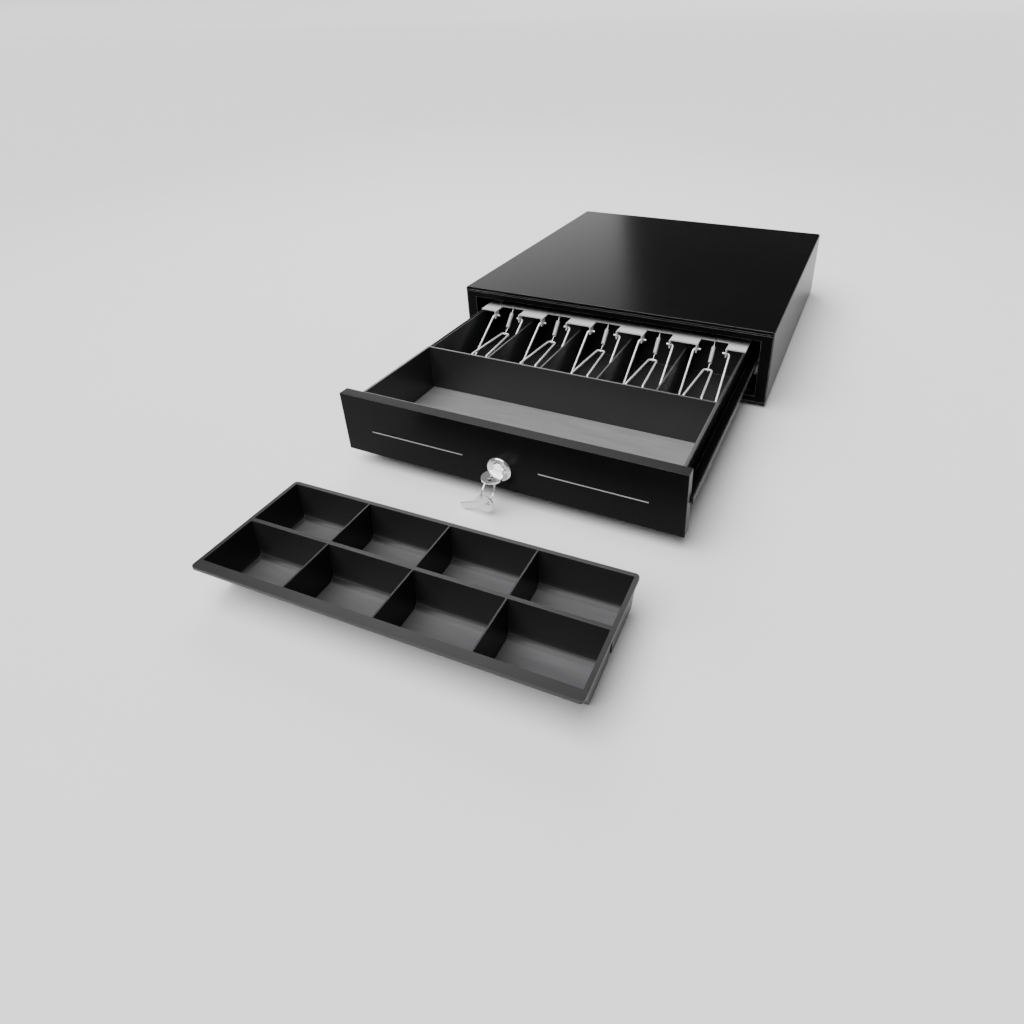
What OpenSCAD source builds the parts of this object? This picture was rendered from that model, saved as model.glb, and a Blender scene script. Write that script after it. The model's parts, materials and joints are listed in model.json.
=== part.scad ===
// Cash drawer of a point-of-sale register, shown pulled open, with its
// lift-out coin tray standing in front. Millimetres, +Z up, -Y is the front.
// The origin is the middle of the case's footprint, on the bench.

/* [Case] */
// Width of the case
case_w = 410; // [360:1:480]
// Depth of the case
case_d = 415; // [400:1:480]
// Height of the case without its feet
case_h = 94; // [90:1:120]
// Height of the rubber feet
foot_h = 6; // [4:0.5:12]
// Radius of the rubber feet
foot_r = 9; // [7:0.5:14]
// Distance of each foot from the case sides
foot_inset = 25; // [20:1:60]
// Sheet thickness of the case
sheet = 1.2; // [1:0.1:2]
// Outer radius of the cover's long bends
bend_r = 3; // [2:0.5:5]

/* [Front frame] */
// Width of the frame at each side of the opening
frame_side = 14.5; // [13:0.5:16]
// Height of the frame above the opening
frame_top = 13.3; // [11:0.1:16]
// Height of the frame below the opening
frame_bottom = 8.5; // [7:0.5:10]
// Groove between the cover's hem and the frame
frame_groove = 1.5; // [0.5:0.1:2.5]

/* [Drawer] */
// Travel of the drawer
travel = 281; // [200:1:300]
// Gap between the front panel and the side of the opening
panel_gap = 5.5; // [3:0.5:6]
// Height of the front panel
panel_h = 67.5; // [64:0.5:68]
// Depth of the panel's turned-in edges
panel_lip = 12; // [8:0.5:13]
// Sheet thickness of the panel
panel_t = 1.5; // [1:0.1:2]
// Length of the drawer tray
tray_len = 338; // [330:1:345]
// Height of the drawer tray's sides
tray_h = 56.9; // [52:0.1:58]
// Gap between the tray's side and the side of the opening
runner_room = 14.4; // [14:0.1:16]
// Length of each slot in the panel
slot_len = 109; // [60:1:120]
// Height of each slot
slot_h = 2.4; // [1.5:0.1:4]
// Distance of each slot's inner end from the middle
slot_in = 41.5; // [30:0.5:50]

/* [Rollers] */
// Radius of the nylon rollers
roller_r = 6.8; // [5.5:0.1:7]
// Width of the rollers
roller_w = 6.5; // [5:0.5:7]
// Radius of the roller studs
stud_r = 2.5; // [2:0.1:3]
// Gap between a roller and its track
roll_gap = 0.3; // [0.2:0.05:0.5]

/* [Till insert] */
// Side wall thickness of the insert
insert_wall = 1.6; // [1.2:0.1:2.4]
// Thickness of its cross walls
cross_wall = 2.4; // [1.6:0.1:3]
// Thickness of its floor
insert_floor = 3.3; // [2:0.1:4]
// Depth of the open bay for the coin tray, front to back
bay_len = 117.8; // [110:0.2:120]
// Length of the bill compartments
bill_len = 160; // [150:1:165]
// Height of the loose dividers between bills
divider_h = 44; // [30:1:46]
// Thickness of the dividers
divider_t = 2.4; // [1.6:0.1:3]
// Width of the insert's front ledge
ledge_w = 22; // [20:0.5:26]

/* [Bill clips] */
// Diameter of the clip wire
wire_d = 2.6; // [2:0.1:3]
// How much closer together the clips stand than the dividers
clip_close = 1.38; // [0:0.01:3]
// Half the distance between a clip's two legs
clip_half = 21.5; // [19:0.5:23]
// Depth of the clip bar, front to back
bar_d = 27.5; // [26:0.5:32]
// Thickness of the clip bar
bar_t = 1.5; // [1:0.1:2]
// Depth of the notch in the bar over each clip
notch_d = 18; // [14:0.5:19]
// Diameter of the tension springs
spring_d = 5.5; // [4:0.5:6]

/* [Lock and keys] */
// Height of the lock above the panel's lower edge
lock_up = 23; // [20:0.5:30]
// Radius of the lock's face ring
bezel_r = 13; // [11.5:0.5:15]
// Radius of the lock's barrel
barrel_r = 9.5; // [8.5:0.5:10]
// Radius of the turning plug
plug_r = 6; // [5:0.5:6.5]
// Radius of the key's bow
bow_r = 10.5; // [10:0.5:12]
// Thickness of the keys
key_t = 2; // [1.6:0.1:2.4]
// Radius of the split ring, to the middle of its wire
ring_r = 12.4; // [12:0.2:14]
// Radius of the ring's wire
ring_wire = 0.9; // [0.7:0.1:1]

/* [Coin tray] */
// Width of the coin tray
coin_w = 342; // [300:1:342]
// Depth of the coin tray over its rim
coin_d = 123; // [110:1:124]
// Height of the coin tray
coin_h = 38.3; // [34:0.1:48]
// Thickness of its rim
rim_t = 3; // [2:0.5:4]
// Wall thickness of the troughs
coin_wall = 1.6; // [1.2:0.1:2.4]
// Overhang of the rim at the back and sides
rim_over = 2.4; // [1:0.1:6]
// Overhang of the rim at the front
rim_front = 8; // [3:0.5:12]
// Gap between the two rows of troughs, just under the rim
row_gap = 0.6; // [0.4:0.1:4]
// How much narrower the troughs are at the bottom, at each end
coin_draft = 3; // [1:0.5:6]
// Distance of the tray's rear edge from the panel
coin_away = 83.8; // [70:0.2:150]
// Angle at which it stands
coin_turn = 1.88; // [-8:0.01:8]

/* [Hidden] */
$fn = 48;

black = [0.06, 0.06, 0.065];
dark = [0.13, 0.13, 0.135];
zinc = [0.72, 0.73, 0.75];
chrome = [0.85, 0.85, 0.87];
nylon = [0.9, 0.89, 0.85];
run = 0.05; // radial clearance of a pin that turns in its hole
fit = 0.1; // gap of a part that is only pushed into place
eps = 1; // how far a cut runs past a face

// Case, from the bench up
floor_z = foot_h;
top_z = foot_h + case_h;
half_w = case_w / 2;
half_d = case_d / 2;
in_w = half_w - sheet; // inside of the side walls
pan_z = floor_z + sheet; // upper side of the base pan
open_half = half_w - frame_side;
open_lo = floor_z + frame_bottom;
open_hi = top_z - frame_top;
hem = 3; // turned-down hem of the cover's front edge
frame_hi = top_z - sheet - hem - frame_groove;
frame_back = 6; // depth of the returned edges round the opening
feet = [for (sx = [-1, 1], sy = [-1, 1]) [sx * (half_w - foot_inset), sy * (half_d - foot_inset)]];
foot_screw_r = 1.8;
foot_head_r = 3.3;
foot_head_h = 1.7;
rear_screw_x = [-in_w + 14, -in_w + 150, in_w - 150, in_w - 14];
rear_screw_z = top_z - 20;
rear_screw_r = 1.5;

// Drawer, pulled right out
face_y = -half_d - travel; // front face of the panel
panel_half = open_half - panel_gap;
panel_z = open_lo + 2.5;
tray_half = open_half - runner_room;
tray_z = panel_z + 0.5;
tray_top = tray_z + tray_h;
tray_y = face_y + panel_t;
tray_back = tray_y + tray_len;
slot_z = panel_z + 29.4;
lock_z = panel_z + lock_up;
insert_half = tray_half - sheet - 0.3;
insert_z = tray_z + sheet;
insert_top = tray_top + 1.4;
cell_z = insert_z + insert_floor;
ledge_y = tray_y + sheet + 0.3;
bay_y = ledge_y + ledge_w; // front of the bay
bay_back = bay_y + bay_len;
bill_y = bay_back + cross_wall;
bill_back = bill_y + bill_len;
bill_top = tray_top - 1;
pitch = (2 * (insert_half - insert_wall) + divider_t) / 5;
clips = [for (i = [-2:2]) i * (pitch - clip_close)];
splits = [for (i = [-1.5:1.5]) i * pitch];

// Rollers and their tracks
track_z = tray_z + 21.7; // height of every roller axle
track_h = 2 * (roller_r + roll_gap);
rail_in = open_half + 1.5; // inner edge of the case rails
rail_y = -half_d + 13.5;
rail_len = 340;
front_axle_y = -half_d + panel_lip + roller_r + 5;
rear_axle_y = tray_back - roller_r;
runner_z = track_z + roller_r + roll_gap;
runner_out = open_half - 3.3;
front_roller_x = runner_out + 1.8 - roller_w;
rear_roller_x = in_w - sheet - 1.6 - roller_w;

// Bar and clips over the bills
bar_z = tray_top;
bar_back = bill_back;
bar_y = bar_back - bar_d - 7.5;
spine_y = bar_y + notch_d;
notch_half = clip_half - 4.5;
pivot_y = bar_y + 1;
pivot_z = bar_z - 5.4;
wire_r = wire_d / 2;
elbow = 0.15; // swell of the wire where it is bent
leg_end = [67, -43]; // foot of a leg, forward and up from its pivot
toe_end = [81, -38]; // furthest bend of the wire
pin_end = [79.5, -20]; // front end of the hairpin
bow_at = [10, -20]; // rear bend of the hairpin
bow_half = 5;
pin_half = 10;
hook_r = 0.7; // radius of the spring's hooks
bar_screw_r = 1.8;
bar_screws = [for (s = [-1, 1]) [s * (tray_half - 7), bar_back + cross_wall + 3]];
spring_free = 24; // length of the coiled part of a clip spring

// Lock, from the face of the panel back
bezel_t = 3;
barrel_len = 17.5;
key_y = face_y - bezel_t; // face of the plug
blade_len = 18;
blade_w = 7;
neck = 1;
bow_y = key_y - neck - bow_r; // middle of the bow
web = 3; // metal left in front of the key's hole
hole_w = 5;
hole_len = 9.4;
ring_y = bow_y - bow_r + web / 2;
ring_z = lock_z + key_t / 2 + 0.2 - sqrt(pow(ring_r - ring_wire, 2) - pow(web / 2, 2));
spare_r = 9.5;
spare_hole_r = 2.2;
spare_dip = 22; // how far the spare key's blade points down
spare_len = 34;

// Latch at the back of the case
latch_y = tray_back + travel; // where the tray's back stops
lever_y = latch_y + 32.5;
lever_z = lock_z - 10;
lever_w = 4;
pin_r = 2;
link_y = 23; // distance from the lever's pin to the plunger
link_r = 1.5;
plunger_r = 3;
coil_r = 11;
coil_h = 26;
yoke_z = lever_z + 10;
yoke_t = 2;
yoke_half = 13;
catch_z = lock_z;
catch_len = 18;
socket_x = 150;
socket_z = 39;
socket_w = 16;
socket_h = 14;

// Coin tray
coin_y = face_y - coin_away;
trough_half = coin_w / 2 - rim_over;
row_d = (coin_d - rim_over - rim_front - row_gap) / 2;
col_w = (2 * trough_half - 5 * coin_wall) / 4;
rim_r = 4;

// Plan of a rectangle with rounded corners
module round_rect(w, d, r) {
    square([w - 2 * r, d], center = true);
    square([w, d - 2 * r], center = true);
    for (x = [-1, 1], y = [-1, 1]) {
        translate([x * (w / 2 - r), y * (d / 2 - r)]) circle(r);
    }
}

// Box between two corners
module span(a, b) {
    translate(a) cube(b - a);
}

// Cylinder lying along +X from x0 to x1
module rod_x(x0, x1, r) {
    translate([x0, 0, 0]) rotate([0, 90, 0]) cylinder(r = r, h = x1 - x0);
}

// Cylinder lying along +Y from y0 to y1
module rod_y(y0, y1, r) {
    translate([0, y0, 0]) rotate([-90, 0, 0]) cylinder(r = r, h = y1 - y0);
}

// Straight wire between two points
module wire(a, b, r) {
    v = b - a;
    l = norm(v);
    translate(a) rotate([0, acos(v[2] / l), atan2(v[1], v[0])]) cylinder(r = r, h = l);
}

// Outline in Y and Z drawn out along X
module across(x0, x1) {
    translate([x0, 0, 0]) rotate([90, 0, 90]) linear_extrude(x1 - x0) children();
}

module top_cover() {
    color(black) {
        translate([0, half_d, floor_z]) rotate([90, 0, 0]) linear_extrude(case_d) difference() {
            cover_outline(half_w, case_h, bend_r);
            translate([0, -eps]) cover_outline(in_w, case_h - sheet + eps, bend_r - sheet);
        }
        span([-in_w, -half_d, top_z - sheet - hem], [in_w, sheet - half_d, top_z - sheet]);
    }
}

// Section of the cover: square feet and rounded shoulders
module cover_outline(hw, h, r) {
    translate([-hw, 0]) square([2 * hw, h - r]);
    translate([r - hw, 0]) square([2 * (hw - r), h]);
    for (s = [-1, 1]) translate([s * (hw - r), h - r]) circle(r);
}

module base_pan() {
    lip_h = 15;
    color(black) difference() {
        union() {
            span([-in_w, -half_d, floor_z], [in_w, half_d, pan_z]);
            for (s = [-1, 1]) {
                x = s > 0 ? in_w - sheet : -in_w;
                span([x, 20 - half_d, pan_z], [x + sheet, half_d - 20, pan_z + lip_h]);
            }
        }
        for (p = feet) {
            translate([p[0], p[1], floor_z - eps]) cylinder(r = foot_screw_r + fit, h = sheet + 2 * eps);
        }
    }
}

module rear_panel() {
    y0 = half_d - sheet;
    color(black) difference() {
        union() {
            span([-in_w, y0, pan_z], [in_w, half_d, top_z - bend_r]);
            span([bend_r - in_w, y0, pan_z], [in_w - bend_r, half_d, top_z - sheet]);
            span([bend_r - in_w, y0 - 10, top_z - 2 * sheet], [in_w - bend_r, y0, top_z - sheet]);
        }
        translate([socket_x, y0 - eps, socket_z]) {
            span([-socket_w / 2 - fit, 0, -socket_h / 2 - fit],
                [socket_w / 2 + fit, sheet + 2 * eps, socket_h / 2 + fit]);
        }
        for (x = rear_screw_x) translate([x, 0, rear_screw_z]) {
            rod_y(y0 - eps, half_d + eps, rear_screw_r + fit);
        }
    }
}

module rear_screws() {
    color(zinc) for (x = rear_screw_x) translate([x, 0, rear_screw_z]) difference() {
        union() {
            rod_y(half_d - sheet - 4, half_d, rear_screw_r);
            rod_y(half_d, half_d + 1.8, 3.2);
        }
        for (a = [0, 90]) rotate([0, a, 0]) span([-2, half_d + 0.8, -0.4], [2, half_d + 2, 0.4]);
    }
}

module front_frame() {
    y0 = -half_d;
    color(black) difference() {
        union() {
            span([-in_w, y0, pan_z], [in_w, y0 + sheet, frame_hi]);
            span([-open_half - sheet, y0, open_lo - sheet],
                [open_half + sheet, y0 + frame_back, open_hi + sheet]);
            span([-in_w + 1, y0, frame_hi - sheet], [in_w - 1, y0 + 14, frame_hi]);
        }
        span([-open_half, y0 - eps, open_lo], [open_half, y0 + frame_back + eps, open_hi]);
    }
}

module case_rails() {
    lo = track_z - track_h / 2;
    hi = track_z + track_h / 2;
    color(zinc) for (s = [0, 1]) mirror([s, 0, 0]) difference() {
        span([rail_in, rail_y, lo - sheet], [in_w, rail_y + rail_len, hi + sheet]);
        span([rail_in - eps, rail_y - eps, lo], [in_w - sheet, rail_y + rail_len + eps, hi]);
    }
}

module front_roller_studs() {
    color(zinc) for (s = [0, 1]) mirror([s, 0, 0]) translate([0, front_axle_y, track_z]) {
        rod_x(front_roller_x - 0.4, in_w - sheet, stud_r);
        rod_x(front_roller_x - 1.6, front_roller_x - 0.4, stud_r + 1.5);
        rod_x(front_roller_x + roller_w + 0.4, in_w - sheet, stud_r + 1.5);
    }
}

module roller(x, y) {
    color(nylon) translate([0, y, track_z]) difference() {
        union() {
            rod_x(x + 0.5, x + roller_w - 0.5, roller_r);
            rod_x(x, x + roller_w, roller_r - 1);
        }
        rod_x(x - eps, x + roller_w + eps, stud_r + run);
    }
}

module front_roller_left() {
    mirror([1, 0, 0]) roller(front_roller_x, front_axle_y);
}

module front_roller_right() {
    roller(front_roller_x, front_axle_y);
}

module rear_roller_left() {
    mirror([1, 0, 0]) roller(rear_roller_x, rear_axle_y);
}

module rear_roller_right() {
    roller(rear_roller_x, rear_axle_y);
}

module rear_roller_studs() {
    color(zinc) for (s = [0, 1]) mirror([s, 0, 0]) translate([0, rear_axle_y, track_z]) {
        rod_x(tray_half + sheet, rear_roller_x + roller_w + 0.4, stud_r);
        rod_x(tray_half + sheet, rear_roller_x - 0.4, stud_r + 1.5);
        rod_x(rear_roller_x + roller_w + 0.4, rear_roller_x + roller_w + 1.2, stud_r + 1.2);
    }
}

module drawer_runners() {
    y0 = face_y + panel_lip + 0.5;
    color(zinc) for (s = [0, 1]) mirror([s, 0, 0]) {
        span([tray_half, y0, track_z - 6], [tray_half + sheet, tray_back, runner_z + sheet]);
        span([tray_half, y0, runner_z], [runner_out, tray_back, runner_z + sheet]);
        span([runner_out - sheet, y0, runner_z], [runner_out, tray_back, runner_z + sheet + 6]);
    }
}

module rubber_feet() {
    color([0.05, 0.05, 0.05]) for (p = feet) translate([p[0], p[1], 0]) difference() {
        union() {
            cylinder(r = foot_r, h = foot_h - 1);
            cylinder(r = foot_r - 1, h = foot_h);
        }
        translate([0, 0, -eps]) cylinder(r = foot_screw_r + fit, h = foot_h + 2 * eps);
        translate([0, 0, -eps]) cylinder(r = foot_head_r + 0.4, h = eps + 2.5);
    }
}

module foot_screws() {
    color(zinc) for (p = feet) translate([p[0], p[1], 0]) {
        translate([0, 0, 2.5 - foot_head_h]) cylinder(r = foot_head_r, h = foot_head_h);
        translate([0, 0, 2.5]) cylinder(r = foot_screw_r, h = pan_z + 2 - 2.5);
    }
}

module latch_bracket() {
    t = 1.5;
    ear_x = 10.5;
    back_y = lever_y + link_y + yoke_half;
    color(zinc) difference() {
        union() {
            span([-30, latch_y + t, pan_z], [30, back_y + t, pan_z + t]);
            span([-30, latch_y + t, pan_z], [30, latch_y + 2 * t, pan_z + 20]);
            for (s = [0, 1]) mirror([s, 0, 0]) {
                span([ear_x, lever_y - 10, pan_z], [ear_x + t, lever_y + 8, lever_z + 6]);
            }
            span([-yoke_half, back_y, pan_z], [yoke_half, back_y + t, yoke_z + coil_h + 2 * yoke_t]);
        }
        translate([0, lever_y, lever_z]) rod_x(-20, 20, pin_r + run);
    }
}

module lever_pin() {
    color(chrome) translate([0, lever_y, lever_z]) {
        rod_x(-13, 13, pin_r);
        rod_x(-14.2, -12.2, pin_r + 1.2);
    }
}

module solenoid_frame() {
    y = lever_y + link_y;
    color(zinc) difference() {
        span([-yoke_half, y - yoke_half, yoke_z], [yoke_half, y + yoke_half, yoke_z + coil_h + 2 * yoke_t]);
        span([-yoke_half - eps, y - yoke_half - eps, yoke_z + yoke_t],
            [yoke_half + eps, y + yoke_half - yoke_t, yoke_z + yoke_t + coil_h]);
        translate([0, y, yoke_z - eps]) cylinder(r = plunger_r + 0.2, h = yoke_t + 2 * eps);
    }
}

module solenoid_coil() {
    color([0.5, 0.2, 0.08]) translate([0, lever_y + link_y, yoke_z + yoke_t]) difference() {
        union() {
            cylinder(r = coil_r, h = 1.5);
            cylinder(r = coil_r - 1, h = coil_h);
            translate([0, 0, coil_h - 1.5]) cylinder(r = coil_r, h = 1.5);
        }
        translate([0, 0, -eps]) cylinder(r = plunger_r + 0.2, h = coil_h + 2 * eps);
    }
}

module solenoid_plunger() {
    cheek = lever_w / 2 + 0.4;
    color(chrome) translate([0, lever_y + link_y, 0]) {
        translate([0, 0, lever_z + 4]) cylinder(r = plunger_r, h = 24);
        translate([0, 0, lever_z + 2.5]) cylinder(r = plunger_r + 2, h = 1.5);
        for (s = [0, 1]) mirror([s, 0, 0]) span([cheek, -3, lever_z - 5], [cheek + 1.6, 3, lever_z + 4]);
        translate([0, 0, lever_z - 2]) rod_x(-cheek - 1.6, cheek + 1.6, link_r);
    }
}

module return_spring() {
    z0 = lever_z + 4.1;
    color(chrome) translate([0, lever_y + link_y, z0]) difference() {
        cylinder(r = plunger_r + 1.6, h = yoke_z - 0.1 - z0);
        translate([0, 0, -eps]) cylinder(r = plunger_r + 0.3, h = yoke_z);
    }
}

module latch_lever() {
    nose = latch_y + 8.5 - lever_y;
    up = catch_z + 4 - lever_z;
    color(zinc) translate([0, lever_y, lever_z]) difference() {
        union() {
            across(-lever_w / 2, lever_w / 2) polygon([[-5, -5], [nose, 2], [nose + 1, up - 6],
                [nose + 5, up], [nose + 5, 7], [0, 5], [link_y + 4, 1], [link_y + 4, -5]]);
            rod_x(-5, 5, 5);
        }
        rod_x(-6, 6, pin_r + run);
        across(-3, 3) translate([link_y, -2]) {
            square([5, 2 * link_r + 0.8], center = true);
        }
    }
}

module catch_plate() {
    slot = 9;
    color(zinc) difference() {
        union() {
            span([-15, tray_back, catch_z - 8], [15, tray_back + 1.5, catch_z + 1.5]);
            span([-15, tray_back, catch_z], [15, tray_back + catch_len, catch_z + 1.5]);
        }
        span([-4, tray_back + 7, catch_z - eps], [4, tray_back + 7 + slot, catch_z + 1.5 + eps]);
    }
}

module cable_socket() {
    y0 = half_d - 18;
    color([0.05, 0.05, 0.05]) translate([socket_x, 0, socket_z]) difference() {
        union() {
            span([-socket_w / 2, y0, -socket_h / 2], [socket_w / 2, half_d, socket_h / 2]);
            span([-socket_w / 2 - 2, y0, -socket_h / 2 - 2],
                [socket_w / 2 + 2, half_d - sheet, socket_h / 2 + 2]);
        }
        span([-6, y0 + 3, -4.5], [6, half_d + eps, 4]);
        span([-3, y0 + 3, -6], [3, half_d + eps, -4]);
    }
}

module drawer_tray() {
    front = tray_y + sheet;
    tab_y = bill_back + cross_wall + 0.4;
    color(black) difference() {
        union() {
            difference() {
                span([-tray_half, tray_y, tray_z], [tray_half, tray_back, tray_top]);
                span([sheet - tray_half, front, tray_z + sheet],
                    [tray_half - sheet, tray_back - sheet, tray_top + eps]);
            }
            for (s = [0, 1]) mirror([s, 0, 0]) {
                span([tray_half - 13, tab_y, tray_top - sheet], [tray_half, tab_y + 10, tray_top]);
            }
        }
        for (p = bar_screws) translate([p[0], p[1], tray_top - sheet - eps]) {
            cylinder(r = bar_screw_r + fit, h = sheet + 2 * eps);
        }
        panel_holes(tray_y, sheet);
    }
}

// Holes that the panel and the tray's front wall share
module panel_holes(y, t) {
    translate([0, 0, lock_z]) rod_y(y - eps, y + t + eps, barrel_r + fit);
    for (s = [0, 1]) mirror([s, 0, 0]) {
        span([slot_in, y - eps, slot_z - slot_h / 2],
            [slot_in + slot_len, y + t + eps, slot_z + slot_h / 2]);
    }
}

module front_panel() {
    hi = panel_z + panel_h;
    color(black) difference() {
        span([-panel_half, face_y, panel_z], [panel_half, face_y + panel_lip, hi]);
        span([panel_t - panel_half, face_y + panel_t, panel_z - eps],
            [panel_half - panel_t, face_y + panel_lip + eps, tray_z - 0.1]);
        span([panel_t - panel_half, face_y + panel_t, tray_z - 0.2],
            [panel_half - panel_t, face_y + panel_lip + eps, hi - panel_t]);
        panel_holes(face_y, panel_t);
    }
}

module panel_screws() {
    color(zinc) for (x = [-1, 1], z = [panel_z + 12, panel_z + 50]) {
        translate([x * (tray_half - 22), tray_y + sheet, z]) {
            rod_y(0, 1.2, 3);
        }
    }
}

module till_insert() {
    w = insert_half;
    in = w - insert_wall;
    wall = cross_wall;
    color(dark) difference() {
        union() {
            span([-w, bay_y - wall, insert_z], [w, bay_back + wall, insert_top]);
            span([-w, bay_back, insert_z], [w, bill_back + wall, bill_top]);
            span([-tray_half, ledge_y, tray_top], [tray_half, bay_back + wall, insert_top]);
        }
        span([-in, bay_y, cell_z], [in, bay_back, insert_top + eps]);
        span([-in, bill_y, cell_z], [in, bill_back, insert_top + eps]);
        for (s = [0, 1]) mirror([s, 0, 0]) {
            span([slot_in, bay_y - wall - eps, slot_z - slot_h / 2],
                [slot_in + slot_len, bay_y + eps, slot_z + slot_h / 2]);
        }
    }
}

module bill_dividers() {
    color(dark) for (x = splits) {
        span([x - divider_t / 2, bill_y + fit, cell_z],
            [x + divider_t / 2, bill_back - fit, cell_z + divider_h]);
    }
}

module clip_bar() {
    hi = bar_z + bar_t;
    end_x = tray_half;
    color(zinc) difference() {
        union() {
            span([-end_x, bar_y, bar_z], [end_x, spine_y + 9, hi]);
            for (s = [0, 1]) mirror([s, 0, 0]) {
                span([end_x - 12, spine_y, bar_z], [end_x, bar_back + 9, hi]);
            }
            for (x = clips, s = [-1, 1]) {
                a = x + s * notch_half - (s > 0 ? 0 : bar_t);
                span([a, bar_y - 3.5, pivot_z - 3.2], [a + bar_t, bar_y + 6, hi]);
            }
        }
        for (x = clips) {
            span([x - notch_half, bar_y - 5, bar_z - eps], [x + notch_half, spine_y, hi + eps]);
            translate([x, spine_y + 3.5, bar_z - eps]) cylinder(r = 1.2, h = bar_t + 2 * eps);
            translate([0, pivot_y, pivot_z]) rod_x(x - clip_half, x + clip_half, wire_r + run);
        }
        for (p = bar_screws) translate([p[0], p[1], bar_z - eps]) {
            cylinder(r = bar_screw_r + fit, h = bar_t + 2 * eps);
        }
    }
}

module clip_bar_screws() {
    color(chrome) for (p = bar_screws) translate([p[0], p[1], bar_z + bar_t]) {
        cylinder(r = 4, h = 1.2);
        translate([0, 0, 1.2]) cylinder(r = 3, h = 1);
        translate([0, 0, -bar_t - 5]) cylinder(r = bar_screw_r, h = bar_t + 5);
    }
}

// Place of a point on a clip, from its forward and upward distances
function on_clip(x, p) = [x, pivot_y - p[0], pivot_z + p[1]];

module bill_clip(cx) {
    color(chrome) for (s = [-1, 1]) {
        leg = cx + s * clip_half;
        stub = cx + s * (notch_half - 4);
        top = on_clip(leg, [0, 0]);
        foot = on_clip(leg, leg_end);
        toe = on_clip(cx + s * (clip_half - 6), toe_end);
        tip = on_clip(cx + s * pin_half, pin_end);
        bow = on_clip(cx + s * bow_half, bow_at);
        wire(on_clip(stub, [0, 0]), top, wire_r);
        wire(top, foot, wire_r);
        wire(foot, toe, wire_r);
        wire(toe, tip, wire_r);
        wire(tip, bow, wire_r);
        wire(bow, on_clip(cx, bow_at), wire_r);
        for (p = [top, foot, toe, tip, bow]) translate(p) sphere(wire_r + elbow);
    }
}

// Spring from the bar's spine down to the bow of one clip
module clip_spring(cx) {
    a = [cx, spine_y - hook_r - 0.4, bar_z + bar_t / 2];
    b = on_clip(cx, bow_at + [-1, wire_r + hook_r + 0.1]);
    v = (b - a) / norm(b - a);
    mid = (a + b) / 2;
    color(zinc) {
        wire(mid - v * spring_free / 2, mid + v * spring_free / 2, spring_d / 2);
        wire(a, mid, hook_r);
        wire(mid, b, hook_r);
    }
}

module bill_clip_1() { bill_clip(clips[0]); }
module bill_clip_2() { bill_clip(clips[1]); }
module bill_clip_3() { bill_clip(clips[2]); }
module bill_clip_4() { bill_clip(clips[3]); }
module bill_clip_5() { bill_clip(clips[4]); }
module clip_spring_1() { clip_spring(clips[0]); }
module clip_spring_2() { clip_spring(clips[1]); }
module clip_spring_3() { clip_spring(clips[2]); }
module clip_spring_4() { clip_spring(clips[3]); }
module clip_spring_5() { clip_spring(clips[4]); }

module lock_body() {
    color(chrome) translate([0, 0, lock_z]) difference() {
        union() {
            rod_y(face_y, face_y + barrel_len, barrel_r);
            rod_y(key_y + 1, face_y, bezel_r);
            rod_y(key_y, face_y, bezel_r - 1);
        }
        rod_y(key_y - eps, face_y + barrel_len + eps, plug_r + run);
    }
}

module lock_nut() {
    y0 = tray_y + sheet;
    color(zinc) translate([0, 0, lock_z]) difference() {
        rotate([-90, 0, 0]) translate([0, 0, y0]) cylinder(r = barrel_r + 4, h = 4, $fn = 6);
        rod_y(y0 - eps, y0 + 4 + eps, barrel_r + run);
    }
}

module lock_plug() {
    color(chrome) translate([0, 0, lock_z]) difference() {
        rod_y(key_y, face_y + barrel_len, plug_r);
        span([-blade_w / 2 - 0.2, key_y - eps, -key_t / 2 - 0.2],
            [blade_w / 2 + 0.2, key_y + blade_len + 1, key_t / 2 + 0.2]);
    }
}

module lock_cam() {
    y0 = face_y + barrel_len;
    reach = 18;
    color(zinc) translate([0, y0, lock_z]) rotate([-90, 0, 0]) linear_extrude(1.6) {
        circle(7);
        translate([0, -4.5]) square([reach, 9]);
    }
}

module key() {
    color(chrome) translate([0, 0, lock_z - key_t / 2]) difference() {
        union() {
            translate([0, bow_y, 0]) cylinder(r = bow_r, h = key_t);
            span([-5, bow_y, 0], [5, key_y - 0.3, key_t]);
            span([-blade_w / 2, bow_y, 0], [blade_w / 2, key_y + blade_len, key_t]);
        }
        translate([0, bow_y - bow_r + web, -eps]) {
            span([-hole_w / 2, hole_w / 2, 0], [hole_w / 2, hole_len - hole_w / 2, key_t + 2 * eps]);
            for (y = [hole_w / 2, hole_len - hole_w / 2]) {
                translate([0, y, 0]) cylinder(r = hole_w / 2, h = key_t + 2 * eps);
            }
        }
        for (i = [0:3]) translate([-blade_w / 2, key_y + 4 + 3.5 * i, -eps]) {
            cylinder(r = 0.9, h = key_t + 2 * eps);
        }
    }
}

module key_ring() {
    color(chrome) translate([0, ring_y, ring_z]) rotate([0, 90, 0]) rotate_extrude() {
        translate([ring_r, 0]) circle(ring_wire);
    }
}

module spare_key() {
    hang = ring_z - ring_r + ring_wire + 0.3 - spare_hole_r;
    color(zinc) translate([0, ring_y, hang]) rotate([0, -spare_dip, 0]) rotate([90, 0, 0]) {
        translate([0, 0, -key_t / 2]) linear_extrude(key_t) difference() {
            union() {
                translate([spare_hole_r + 1.9 - spare_r, 0]) circle(spare_r);
                translate([-spare_len, -blade_w / 2]) square([spare_len - spare_r, blade_w]);
            }
            circle(spare_hole_r);
            for (i = [0:3]) translate([-spare_len + 3.5 + 3.5 * i, blade_w / 2]) circle(0.9);
        }
    }
}

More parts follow.
